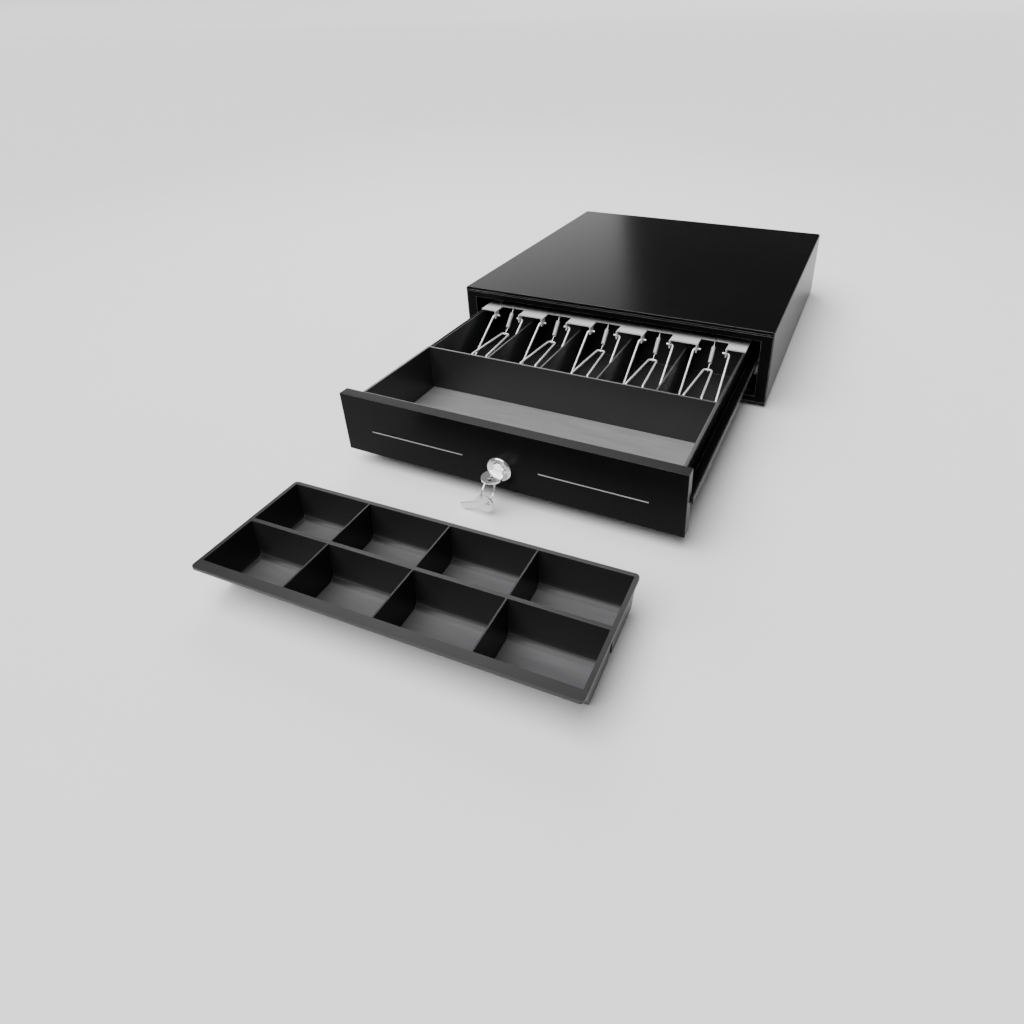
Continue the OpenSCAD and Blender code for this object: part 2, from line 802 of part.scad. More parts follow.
// Section of one row of troughs, with rounded lower corners: y1 is the back, y0 the front
module row_outline(y1, y0, z0, lean) {
    under = coin_h - rim_t;
    polygon([[y1, coin_h + 2 * eps], [y1, under], [y1 - 2, z0 + 8], [y1 - 3.5, z0 + 3], [y1 - 8, z0],
        [y0 + lean + 8, z0], [y0 + lean + 2, z0 + 2.5], [y0 + lean - 0.5, z0 + 8], [y0, under],
        [y0, coin_h + 2 * eps]]);
}

// Section of a trough from end to end, with drafted ends and rounded lower corners
module end_outline(hw, z0) {
    under = coin_h - rim_t;
    low = hw - coin_draft;
    half = [[hw, coin_h + 2 * eps], [hw, under], [low, z0 + 5], [low - 1.5, z0 + 1.5], [low - 5, z0]];
    polygon(concat(half, [for (i = [len(half) - 1:-1:0]) [-half[i][0], half[i][1]]]));
}

// One row of troughs as a solid: its outside, or its hollow when inset by the wall
module row_shape(y1, y0, lean, inset) {
    hw = trough_half - inset;
    intersection() {
        across(-hw, hw) row_outline(y1 - inset, y0 + inset, inset, lean);
        translate([0, y1, 0]) rotate([90, 0, 0]) linear_extrude(y1 - y0) end_outline(hw, inset);
    }
}

module coin_tray() {
    b1 = -rim_over;
    b2 = b1 - row_d - row_gap;
    rows = [[b1, b1 - row_d, 5], [b2, b2 - row_d, 14]];
    color(dark) translate([0, coin_y, 0]) rotate([0, 0, coin_turn]) difference() {
        union() {
            translate([0, -coin_d / 2, coin_h - rim_t]) linear_extrude(rim_t) {
                round_rect(coin_w, coin_d, rim_r);
            }
            intersection() {
                union() {
                    for (r = rows) row_shape(r[0], r[1], r[2], 0);
                }
                span([-coin_w, -coin_d, 0], [coin_w, 0, coin_h - rim_t / 2]);
            }
        }
        for (r = rows) difference() {
            row_shape(r[0], r[1], r[2], coin_wall);
            for (i = [1:3]) {
                x = -trough_half + i * (col_w + coin_wall);
                span([x, r[1] - eps, -eps], [x + coin_wall, r[0] + eps, coin_h + 3 * eps]);
            }
        }
    }
}

top_cover();
base_pan();
rear_panel();
front_frame();
case_rails();
rubber_feet();
foot_screws();
rear_screws();
latch_bracket();
solenoid_frame();
solenoid_coil();
lever_pin();
return_spring();
cable_socket();
front_roller_studs();
drawer_tray();
front_panel();
till_insert();
bill_dividers();
clip_bar();
clip_bar_screws();
catch_plate();
rear_roller_studs();
lock_body();
lock_nut();
panel_screws();
drawer_runners();
front_roller_left();
front_roller_right();
rear_roller_left();
rear_roller_right();
bill_clip_1();
bill_clip_2();
bill_clip_3();
bill_clip_4();
bill_clip_5();
clip_spring_1();
clip_spring_2();
clip_spring_3();
clip_spring_4();
clip_spring_5();
lock_plug();
lock_cam();
key();
key_ring();
spare_key();
latch_lever();
solenoid_plunger();
coin_tray();
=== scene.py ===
"""Looks for the point-of-sale cash drawer: powder-coated case, drawer, till, lock, keys and coin tray."""

from __future__ import annotations

import json
import logging
import math
from dataclasses import dataclass
from enum import Enum

import bmesh
import bpy
from mathutils import Matrix, Vector

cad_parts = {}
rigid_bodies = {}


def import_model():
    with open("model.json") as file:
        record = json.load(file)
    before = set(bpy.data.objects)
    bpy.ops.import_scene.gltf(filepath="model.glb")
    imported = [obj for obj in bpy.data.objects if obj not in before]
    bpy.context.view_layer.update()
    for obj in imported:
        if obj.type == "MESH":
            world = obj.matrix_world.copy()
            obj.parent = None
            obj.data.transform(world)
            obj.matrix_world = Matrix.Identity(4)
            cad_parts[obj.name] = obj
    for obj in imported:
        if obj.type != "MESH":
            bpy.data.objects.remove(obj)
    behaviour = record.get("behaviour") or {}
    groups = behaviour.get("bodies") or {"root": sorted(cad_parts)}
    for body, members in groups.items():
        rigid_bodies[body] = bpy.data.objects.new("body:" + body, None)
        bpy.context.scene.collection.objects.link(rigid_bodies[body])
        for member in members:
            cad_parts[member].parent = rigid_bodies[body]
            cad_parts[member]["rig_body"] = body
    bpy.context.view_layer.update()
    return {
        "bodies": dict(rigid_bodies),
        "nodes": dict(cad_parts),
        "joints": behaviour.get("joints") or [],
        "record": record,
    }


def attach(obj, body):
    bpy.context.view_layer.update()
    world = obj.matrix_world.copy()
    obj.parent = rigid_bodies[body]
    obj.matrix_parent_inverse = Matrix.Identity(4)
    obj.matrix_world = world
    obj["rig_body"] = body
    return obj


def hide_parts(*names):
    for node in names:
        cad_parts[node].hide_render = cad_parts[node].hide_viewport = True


LOG = logging.getLogger("cash_drawer")
MM = 0.001
FLAT_DEG = 0.6
BIG_FACE_WEIGHT = 80
EDGE_SAMPLES = 4
EDGE_STARTS, EDGE_FULL = 0.985, 0.9
LEVEL_STARTS, LEVEL_FULL = 0.9, 0.98
GLOSS_DRIFT = 0.07


class Side(Enum):
    """Left or right of the drawer, as the person who faces it sees it."""

    LEFT = -1
    RIGHT = 1


# ---------------------------------------------------------------- finishes


@dataclass(frozen=True)
class NodeDesk:
    """Short ways to add and join shader nodes in one material."""

    tree: bpy.types.NodeTree

    def add(self, kind: str, **sockets: object) -> bpy.types.Node:
        """Adds a node and fills its input sockets.

        Args:
            kind: the node's type name.
            sockets: input names, with spaces as underscores, and their values.

        Returns:
            The new node.
        """
        node = self.tree.nodes.new(kind)
        for name, value in sockets.items():
            node.inputs[name.replace("_", " ")].default_value = value
        return node

    def join(self, source: bpy.types.NodeSocket, target: bpy.types.NodeSocket) -> None:
        """Links one socket to another."""
        self.tree.links.new(source, target)

    def ramp(self, source: bpy.types.NodeSocket, stops: list[tuple[float, tuple]]) -> bpy.types.NodeSocket:
        """Passes a value through a colour ramp.

        Args:
            source: the value to look up.
            stops: position and colour of each stop.

        Returns:
            The ramp's colour output.
        """
        node = self.tree.nodes.new("ShaderNodeValToRGB")
        while len(node.color_ramp.elements) < len(stops):
            node.color_ramp.elements.new(0.5)
        for element, (place, colour) in zip(node.color_ramp.elements, stops):
            element.position = place
            element.color = (*colour, 1.0)
        self.join(source, node.inputs["Fac"])
        return node.outputs["Color"]

    def noise(
        self, where: bpy.types.NodeSocket, scale: float, detail: float = 3.0, rough: float = 0.55
    ) -> bpy.types.NodeSocket:
        """Adds a noise texture and returns its value output."""
        node = self.add("ShaderNodeTexNoise", Scale=scale, Detail=detail, Roughness=rough)
        self.join(where, node.inputs["Vector"])
        return node.outputs["Fac"]

    def spread(self, source: bpy.types.NodeSocket, low: float, high: float) -> bpy.types.NodeSocket:
        """Maps a value of 0 to 1 onto a range and returns the result."""
        node = self.tree.nodes.new("ShaderNodeMapRange")
        node.inputs["To Min"].default_value = low
        node.inputs["To Max"].default_value = high
        self.join(source, node.inputs["Value"])
        return node.outputs["Result"]


@dataclass(frozen=True)
class Finish:
    """A surface finish that builds its own procedural material."""

    name: str
    tint: tuple[float, float, float]
    roughness: float
    grain: float = 900.0
    relief: float = 0.1
    mottle: float = 0.15
    metal: float = 0.0
    stretch: tuple[float, float, float] = (1.0, 1.0, 1.0)
    specular: float = 0.5
    grain_depth: float = 0.00004
    # edge_tint and the edge amount lighten the edges: partly wear, partly a painted highlight.
    edge_tint: tuple[float, float, float] = (0.3, 0.3, 0.31)
    edge_wear_and_highlight: float = 0.0
    edge_width: float = 0.0004
    # These fields lighten level low faces: partly dust, partly a painted sheen.
    dust_and_sheen_tint: tuple[float, float, float] = (0.3, 0.3, 0.31)
    dust_and_sheen: float = 0.0
    dust_and_sheen_ahead_of: float = 10.0
    dust_and_sheen_below: float = 0.02

    def make(self) -> bpy.types.Material:
        """Builds the material.

        Returns:
            A material with colour drift, uneven gloss and a fine relief.
        """
        old = bpy.data.materials.get(self.name)
        if old:
            return old
        material = bpy.data.materials.new(self.name)
        material.use_nodes = True
        desk = NodeDesk(material.node_tree)
        shader = material.node_tree.nodes["Principled BSDF"]
        shader.inputs["Metallic"].default_value = self.metal
        shader.inputs["Specular IOR Level"].default_value = self.specular
        place = desk.add("ShaderNodeTexCoord").outputs["Object"]
        mapping = desk.add("ShaderNodeMapping")
        mapping.inputs["Scale"].default_value = self.stretch
        desk.join(place, mapping.inputs["Vector"])
        where = mapping.outputs["Vector"]
        self.colour(desk, shader, where)
        self.gloss(desk, shader, where)
        self.surface(desk, shader, where)
        return material

    def colour(self, desk: NodeDesk, shader: bpy.types.Node, where: bpy.types.NodeSocket) -> None:
        """Gives the base colour a slow drift and a fine fleck."""
        drift = desk.noise(where, 14.0, 4.0)
        fleck = desk.noise(where, self.grain * 0.6, 2.0)
        both = desk.tree.nodes.new("ShaderNodeMath")
        both.operation = "MULTIPLY_ADD"
        both.inputs[1].default_value = 0.35
        desk.join(fleck, both.inputs[0])
        scaled = desk.spread(drift, 0.0, 0.65)
        desk.join(scaled, both.inputs[2])
        low = tuple(c * (1.0 - self.mottle) for c in self.tint)
        high = tuple(min(1.0, c * (1.0 + self.mottle)) for c in self.tint)
        paint = desk.ramp(both.outputs[0], [(0.3, low), (0.7, high)])
        # Level low faces get dust mixed with a painted sheen.
        if self.dust_and_sheen > 0.0:
            paint = self.add_dust_and_sheen(desk, paint, where)
        # Edges lighten: real wear mixed with a painted highlight.
        if self.edge_wear_and_highlight > 0.0:
            paint = self.worn(desk, paint, where)
        desk.join(paint, shader.inputs["Base Color"])

    def add_dust_and_sheen(
        self, desk: NodeDesk, paint: bpy.types.NodeSocket, where: bpy.types.NodeSocket
    ) -> bpy.types.NodeSocket:
        """Lightens the level faces: partly dust, partly a painted sheen in long streaks that stands for the
        lamps' reflection on the floors.

        Args:
            desk: the material's desk.
            paint: the colour away from the dust and painted sheen.
            where: the place on the piece.

        Returns:
            The colour with its dust and painted sheen.
        """
        facing = desk.tree.nodes.new("ShaderNodeSeparateXYZ")
        desk.join(desk.add("ShaderNodeNewGeometry").outputs["True Normal"], facing.inputs[0])
        level = desk.add("ShaderNodeMapRange")
        level.inputs["From Min"].default_value = LEVEL_STARTS
        level.inputs["From Max"].default_value = LEVEL_FULL
        desk.join(facing.outputs["Z"], level.inputs["Value"])
        place = desk.tree.nodes.new("ShaderNodeSeparateXYZ")
        desk.join(where, place.inputs[0])
        front = desk.add("ShaderNodeMath")
        front.operation = "LESS_THAN"
        front.inputs[1].default_value = self.dust_and_sheen_ahead_of
        desk.join(place.outputs["Y"], front.inputs[0])
        long = desk.add("ShaderNodeMapping")
        long.inputs["Scale"].default_value = (0.16, 1.0, 1.0)
        desk.join(where, long.inputs["Vector"])
        # Long streaks of dust and painted sheen.
        streak = desk.spread(desk.noise(long.outputs["Vector"], 90.0, 6.0, 0.7), 0.55, 1.35)
        low = desk.add("ShaderNodeMath")
        low.operation = "LESS_THAN"
        low.inputs[1].default_value = self.dust_and_sheen_below
        desk.join(place.outputs["Z"], low.inputs[0])
        amount = level.outputs["Result"]
        for factor in (front.outputs[0], low.outputs[0], streak):
            times = desk.add("ShaderNodeMath")
            times.operation = "MULTIPLY"
            desk.join(amount, times.inputs[0])
            desk.join(factor, times.inputs[1])
            amount = times.outputs[0]
        share = desk.add("ShaderNodeMath")
        share.operation = "MULTIPLY"
        share.inputs[1].default_value = self.dust_and_sheen
        desk.join(amount, share.inputs[0])
        mix = desk.add("ShaderNodeMix")
        mix.data_type = "RGBA"
        desk.join(share.outputs[0], mix.inputs["Factor"])
        desk.join(paint, mix.inputs[6])
        mix.inputs[7].default_value = (*self.dust_and_sheen_tint, 1.0)
        return mix.outputs[2]

    def worn(
        self, desk: NodeDesk, paint: bpy.types.NodeSocket, where: bpy.types.NodeSocket
    ) -> bpy.types.NodeSocket:
        """Lightens the folds and rims: partly wear where handling polishes them, partly a painted highlight
        where light catches the edges.

        Args:
            desk: the material's desk.
            paint: the colour away from the edges.
            where: the place on the piece.

        Returns:
            The colour with its worn edges and painted edge highlights.
        """
        # Edge mask: lighter colour on edges, partly wear and partly a painted highlight.
        rounded = desk.add("ShaderNodeBevel", Radius=self.edge_width)
        rounded.samples = EDGE_SAMPLES
        flat = desk.add("ShaderNodeNewGeometry")
        meet = desk.add("ShaderNodeVectorMath")
        meet.operation = "DOT_PRODUCT"
        desk.join(rounded.outputs["Normal"], meet.inputs[0])
        desk.join(flat.outputs["True Normal"], meet.inputs[1])
        rim = desk.add("ShaderNodeMapRange")
        rim.inputs["From Min"].default_value = EDGE_STARTS
        rim.inputs["From Max"].default_value = EDGE_FULL
        rim.inputs["To Max"].default_value = self.edge_wear_and_highlight
        desk.join(meet.outputs["Value"], rim.inputs["Value"])
        patchy = desk.add("ShaderNodeMath")
        patchy.operation = "MULTIPLY"
        desk.join(rim.outputs["Result"], patchy.inputs[0])
        desk.join(desk.spread(desk.noise(where, 60.0, 3.0), 0.7, 1.3), patchy.inputs[1])
        mix = desk.add("ShaderNodeMix")
        mix.data_type = "RGBA"
        desk.join(patchy.outputs[0], mix.inputs["Factor"])
        desk.join(paint, mix.inputs[6])
        mix.inputs[7].default_value = (*self.edge_tint, 1.0)
        return mix.outputs[2]

    def gloss(self, desk: NodeDesk, shader: bpy.types.Node, where: bpy.types.NodeSocket) -> None:
        """Makes the roughness uneven, as handling leaves it."""
        smear = desk.noise(where, 35.0, 5.0, 0.6)
        drift = self.roughness * GLOSS_DRIFT
        uneven = desk.spread(smear, self.roughness - drift, self.roughness + drift)
        desk.join(uneven, shader.inputs["Roughness"])

    def surface(self, desk: NodeDesk, shader: bpy.types.Node, where: bpy.types.NodeSocket) -> None:
        """Adds the fine relief of the finish."""
        bump = desk.add("ShaderNodeBump", Strength=self.relief, Distance=self.grain_depth)
        desk.join(desk.noise(where, self.grain, 2.0), bump.inputs["Height"])
        desk.join(bump.outputs["Normal"], shader.inputs["Normal"])


class Finishes(Enum):
    """Every finish on the drawer."""

    COAT = Finish(
        "black_powder_coat",
        (0.0045, 0.0045, 0.0048),
        0.2,
        grain=1500.0,
        relief=0.2,
        specular=0.02,
        # Lighter edge tint: partly wear, partly a painted highlight on the case's edges.
        edge_tint=(0.42, 0.42, 0.43),
        edge_wear_and_highlight=0.8,
    )
    PANEL = Finish(
        "black_panel_coat",
        (0.0045, 0.0045, 0.0048),
        0.22,
        grain=1500.0,
        relief=0.2,
        specular=0.06,
        edge_tint=(0.2, 0.2, 0.205),
        edge_wear_and_highlight=0.6,
    )
    # A light grey for the strips on the cover's folds and the slot lips: painted highlight.
    LIP = Finish(
        "worn_slot_lip",
        (0.30, 0.30, 0.31),
        0.35,
        grain=900.0,
        relief=0.15,
        metal=0.3,
    )
    INSERT = Finish(
        "dark_moulded_insert",
        (0.022, 0.022, 0.023),
        0.36,
        grain=2600.0,
        relief=0.3,
        specular=0.6,
        edge_tint=(0.2, 0.2, 0.205),
        edge_wear_and_highlight=0.5,
        # Bay floor tint: dust mixed with a painted sheen standing for the lamps' reflection.
        dust_and_sheen_tint=(0.24, 0.24, 0.245),
        dust_and_sheen=0.85,
        dust_and_sheen_ahead_of=-0.3445,
        dust_and_sheen_below=0.05,
    )
    COIN = Finish(
        "dark_moulded_coin_tray",
        (0.016, 0.016, 0.017),
        0.36,
        grain=2600.0,
        relief=0.3,
        specular=0.3,
        edge_tint=(0.12, 0.12, 0.125),
        edge_wear_and_highlight=0.5,
        # Coin tray floor tint: dust mixed with a painted sheen standing for the lamps' reflection.
        dust_and_sheen_tint=(0.11, 0.11, 0.113),
        dust_and_sheen=0.8,
    )
    ZINC = Finish(
        "bright_zinc",
        (0.90, 0.90, 0.91),
        0.36,
        grain=420.0,
        relief=0.12,
        mottle=0.08,
        metal=0.3,
        stretch=(0.3, 1.0, 1.0),
    )
    DULL_ZINC = Finish(
        "dull_zinc",
        (0.34, 0.345, 0.36),
        0.42,
        grain=420.0,
        relief=0.12,
        mottle=0.14,
        metal=0.9,
        stretch=(1.0, 0.2, 1.0),
    )
    WIRE = Finish(
        "nickel_wire",
        (0.88, 0.88, 0.89),
        0.24,
        grain=900.0,
        relief=0.08,
        mottle=0.06,
        metal=0.45,
    )
    NICKEL = Finish(
        "polished_nickel",
        (0.86, 0.86, 0.87),
        0.16,
        grain=700.0,
        relief=0.05,
        mottle=0.05,
        metal=0.85,
    )
    WORN = Finish(
        "worn_nickel",
        (0.74, 0.74, 0.75),
        0.36,
        grain=700.0,
        relief=0.15,
        mottle=0.1,
        metal=0.6,
    )
    NYLON = Finish(
        "natural_nylon",
        (0.70, 0.68, 0.62),
        0.4,
        grain=1200.0,
        relief=0.1,
        mottle=0.05,
    )
    RUBBER = Finish(
        "black_rubber",
        (0.018, 0.018, 0.018),
        0.7,
        grain=1800.0,
        relief=0.5,
        mottle=0.2,
        specular=0.3,
    )
    COPPER = Finish(
        "wound_copper",
        (0.5, 0.19, 0.07),
        0.35,
        grain=800.0,
        relief=0.3,
        mottle=0.15,
        metal=0.8,
        stretch=(1.0, 1.0, 6.0),
    )

    def material(self) -> bpy.types.Material:
        """Returns the finish's material."""
        return self.value.make()


# ---------------------------------------------------------------- modelling bench


@dataclass
class Bench:
    """Turns bmesh shapes into named pieces that ride on the drawer's bodies."""

    frame: dict

    def piece(
        self,
        shape: bmesh.types.BMesh,
        name: str,
        finish: Finishes,
        body: str,
        *stands_for: str,
        smooth: float = 35.0,
    ) -> bpy.types.Object:
        """Makes an object of a shape, dresses it and lets it ride.

        Args:
            shape: the finished bmesh, in metres, in the drawer's own frame. It is freed.
            name: the piece's name.
            finish: the finish that it wears.
            body: the moving body that carries it.
            stands_for: names of the CAD nodes that it replaces.
            smooth: the largest angle, in degrees, that is shaded as one surface.

        Returns:
            The new object.
        """
        mesh = bpy.data.meshes.new(name)
        shape.to_mesh(mesh)
        shape.free()
        return self.adopt(mesh, name, finish, body, *stands_for, smooth=smooth)

    def adopt(
        self,
        mesh: bpy.types.Mesh,
        name: str,
        finish: Finishes,
        body: str,
        *stands_for: str,
        smooth: float = 35.0,
    ) -> bpy.types.Object:
        """Makes an object of a mesh, dresses it and lets it ride. The arguments are those of piece."""
        mesh.materials.clear()
        mesh.materials.append(finish.material())
        mesh.shade_smooth()
        mesh.set_sharp_from_angle(angle=math.radians(smooth))
        made = bpy.data.objects.new(name, mesh)
        bpy.context.scene.collection.objects.link(made)
        even = made.modifiers.new("even_normals", "WEIGHTED_NORMAL")
        even.keep_sharp = True
        even.weight = BIG_FACE_WEIGHT
        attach(made, body)
        if stands_for:
            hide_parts(*stands_for)
        LOG.info("%s: %d faces on %s", name, len(mesh.polygons), body)
        return made

    def softened(
        self,
        node: str,
        finish: Finishes,
        edge: float,
        sharp: float = 28.0,
        segments: int = 2,
        smooth: float = 35.0,
    ) -> bpy.types.Object:
        """Copies a CAD node with its long edges rounded, as folded sheet and moulded plastic have them.

        Args:
            node: the CAD node.
            finish: the finish that it wears.
            edge: radius of the rounding, in millimetres.
            sharp: the smallest fold angle, in degrees, that is rounded.
            segments: steps in each rounding.
            smooth: the largest angle, in degrees, that is shaded as one surface.

        Returns:
            The new object, which replaces the node.
        """
        source = self.frame["nodes"][node]
        shape = bmesh.new()
        shape.from_mesh(source.data)
        bmesh.ops.remove_doubles(shape, verts=shape.verts, dist=1e-6)
        bmesh.ops.dissolve_limit(
            shape,
            angle_limit=math.radians(FLAT_DEG),
            verts=shape.verts[:],
            edges=shape.edges[:],
            use_dissolve_boundaries=False,
            delimit=set(),
        )
        least = math.radians(sharp)
        folds = [e for e in shape.edges if len(e.link_faces) == 2 and e.calc_face_angle(0.0) > least]
        bmesh.ops.bevel(
            shape,
            geom=folds,
            offset=edge * MM,
            offset_type="OFFSET",
            segments=segments,
            profile=0.5,
            affect="EDGES",
            clamp_overlap=True,
            material=-1,
        )
        return self.piece(shape, f"{node}_shell", finish, source["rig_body"], node, smooth=smooth)


def swept(points: list[Vector], radius: float, sides: int = 12) -> bpy.types.Mesh:
    """Sweeps round wire along a line of points.

    Args:
        points: the wire's middle line.
        radius: the wire's radius.
        sides: sides of its section.

    Returns:
        A closed mesh.
    """
    curve = bpy.data.curves.new("wire", "CURVE")
    curve.dimensions = "3D"
    curve.bevel_depth = radius
    curve.bevel_resolution = max(1, sides // 4 - 1)
    curve.use_fill_caps = True
    spline = curve.splines.new("POLY")
    spline.points.add(len(points) - 1)
    for target, point in zip(spline.points, points):
        target.co = (*point, 1.0)
    holder = bpy.data.objects.new("wire", curve)
    bpy.context.scene.collection.objects.link(holder)
    bpy.context.view_layer.update()
    mesh = bpy.data.meshes.new_from_object(holder.evaluated_get(bpy.context.evaluated_depsgraph_get()))
    bpy.data.objects.remove(holder)
    bpy.data.curves.remove(curve)
    return mesh


def filleted(points: list[Vector], radius: float, steps: int = 8) -> list[Vector]:
    """Rounds the corners of a line of points, as a wire bender does.

    Args:
        points: the corners of the line.
        radius: the bend radius.
        steps: points in each bend.

    Returns:
        The line with its bends.
    """
    line = [points[0]]
    for before, corner, after in zip(points, points[1:], points[2:]):
        a, b = (before - corner), (after - corner)
        room = min(a.length, b.length) * 0.48
        half = a.angle(b) / 2.0
        cut = min(radius / math.tan(half), room) if half > 1e-4 else room
        start, end = corner + a.normalized() * cut, corner + b.normalized() * cut
        for i in range(steps + 1):
            t = i / steps
            line.append(start.lerp(corner, t).lerp(corner.lerp(end, t), t))
    line.append(points[-1])
    return line


def turned(
    profile: list[tuple[float, float]], middle: Vector, axis: Vector, steps: int = 64
) -> bmesh.types.BMesh:
    """Turns a profile about an axis, as on a lathe.

    Args:
        profile: radius and distance along the axis of each corner, from end to end.
        middle: the point that the distances start from.
        axis: direction of the axis.
        steps: faces around.

    Returns:
        A bmesh with its seam closed.
    """
    shape = bmesh.new()
    turn = Vector((0, 0, 1)).rotation_difference(axis.normalized()).to_matrix().to_4x4()
    place = Matrix.Translation(middle) @ turn
    corners = [shape.verts.new(place @ Vector((r, 0, h))) for r, h in profile]
    edges = [shape.edges.new(pair) for pair in zip(corners, corners[1:])]
    bmesh.ops.spin(
        shape,
        geom=corners + edges,
        cent=middle,
        axis=axis.normalized(),
        angle=2 * math.pi,
        steps=steps,
        use_merge=True,
        use_duplicate=False,
    )
    bmesh.ops.remove_doubles(shape, verts=shape.verts, dist=1e-7)
    bmesh.ops.recalc_face_normals(shape, faces=shape.faces)
    return shape


# ---------------------------------------------------------------- sub-assemblies


@dataclass
class CaseShell:
    """The steel case: cover, base pan, rear panel, front frame and what hides inside."""

    bench: Bench
    half_w: float = 200.0
    face_y: float = -207.5
    top_z: float = 100.0
    hem_z: float = 96.28
    fold_r: float = 0.5
    inset: float = 0.02

    def build(self) -> None:
        """Makes the case's pieces."""
        coated = {"top_cover": 0.55, "base_pan": 0.3, "rear_panel": 0.3, "front_frame": 0.5}
        for node, edge in coated.items():
            self.bench.softened(node, Finishes.COAT, edge)
        plated = ["case_rails", "latch_bracket", "solenoid_frame"]
        plated += ["rear_screws", "foot_screws", "latch_lever"]
        for node in plated:
            self.bench.softened(node, Finishes.DULL_ZINC, 0.2)
        self.bench.softened("rubber_feet", Finishes.RUBBER, 0.5)
        self.bench.softened("cable_socket", Finishes.RUBBER, 0.3)
        self.bench.softened("solenoid_coil", Finishes.COPPER, 0.2)
        for node in ("lever_pin", "return_spring", "front_roller_studs", "solenoid_plunger"):
            self.bench.softened(node, Finishes.NICKEL, 0.15)
        # Light strips along the front fold and hem: painted highlights.
        self.fold_highlight_strip("cover_fold", self.top_z - self.fold_r - self.inset)
        self.fold_highlight_strip("hem_fold", self.hem_z)

    def fold_highlight_strip(self, name: str, height: float) -> None:
        """Rolls one light strip across the cover's front fold: a painted highlight along the edge.

        Args:
            name: the piece's name.
            height: height of the fold's middle.
        """
        depth = self.face_y + self.fold_r + self.inset
        line = [Vector((x, depth, height)) * MM for x in (-self.half_w, self.half_w)]
        mesh = swept(line, self.fold_r * MM, sides=12)
        self.bench.adopt(mesh, name, Finishes.LIP, "case", smooth=60.0)


@dataclass
class DrawerBox:
    """The sliding drawer: tray, front panel, runners and rollers."""

    bench: Bench
    face_y: float = -488.5
    slot_in: float = 41.5
    slot_len: float = 109.0
    slot_z: float = 46.4
    slot_h: float = 2.4
    lip_r: float = 0.6

    def build(self) -> None:
        """Makes the drawer's pieces."""
        self.bench.softened("drawer_tray", Finishes.COAT, 0.3)
        self.bench.softened("front_panel", Finishes.PANEL, 0.5)
        self.bench.softened("drawer_runners", Finishes.COAT, 0.2)
        for node in ("catch_plate", "lock_nut", "panel_screws", "rear_roller_studs"):
            self.bench.softened(node, Finishes.DULL_ZINC, 0.2)
        for side in Side:
            # A painted highlight along each slot's lower lip.
            self.slot_highlight_lip(side)
            for end in ("front", "rear"):
                self.bench.softened(f"{end}_roller_{side.name.lower()}", Finishes.NYLON, 0.25)

    def slot_highlight_lip(self, side: Side) -> None:
        """Rolls a light strip along the lower lip of one slot in the panel: a painted highlight where the lip
        catches the light.

        Args:
            side: the side of the lock on which the slot lies.
        """
        x0, x1 = sorted((side.value * self.slot_in, side.value * (self.slot_in + self.slot_len)))
        height = self.slot_z - self.slot_h / 2 - self.lip_r * 0.2
        line = [Vector((x, self.face_y + self.lip_r, height)) * MM for x in (x0, x1)]
        mesh = swept(line, self.lip_r * MM, sides=12)
        self.bench.adopt(mesh, f"slot_lip_{side.name.lower()}", Finishes.LIP, "drawer", smooth=60.0)


@dataclass
class TillInsert:
    """The moulded insert with its bay, bill compartments and dividers."""

    bench: Bench

    def build(self) -> None:
        """Makes the insert's pieces."""
        self.bench.softened("till_insert", Finishes.INSERT, 0.5, segments=3)
        self.bench.softened("bill_dividers", Finishes.INSERT, 0.6, segments=3)


